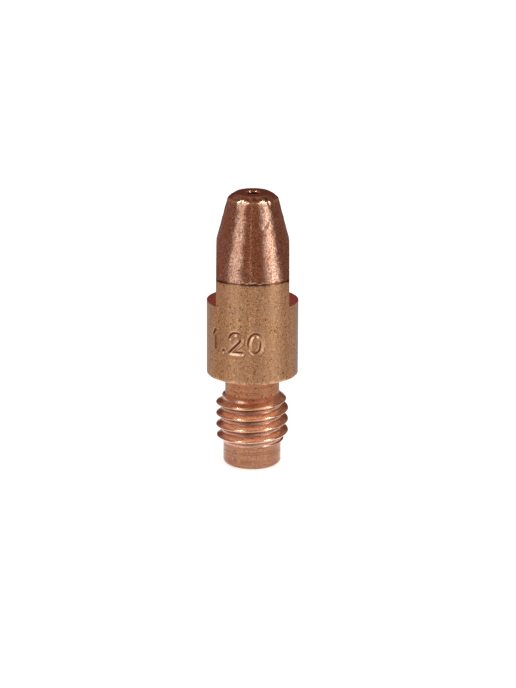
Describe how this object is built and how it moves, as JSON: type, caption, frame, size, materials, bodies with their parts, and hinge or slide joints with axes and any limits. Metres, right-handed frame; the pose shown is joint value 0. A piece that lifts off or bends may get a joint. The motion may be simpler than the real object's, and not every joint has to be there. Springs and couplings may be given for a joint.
{
  "type": "welding contact tip",
  "caption": "Turned copper contact tip for a MIG torch: threaded stem with a funnel inlet, round body with wrench flats, conical nose with a through bore for the wire.",
  "frame": {"origin": "centre of the foot face, where the wire goes in, which the tip stands on", "axes": "+Z along the axis from the foot to the nose; +X and -X are the outward normals of the two wrench flats"},
  "size_m": [0.0098, 0.0098, 0.03],
  "materials": {
    "copper": "turned copper alloy, satin to glossy"
  },
  "bodies": {
    "root": {"contact_tip": "copper"}
  },
  "joints": []
}
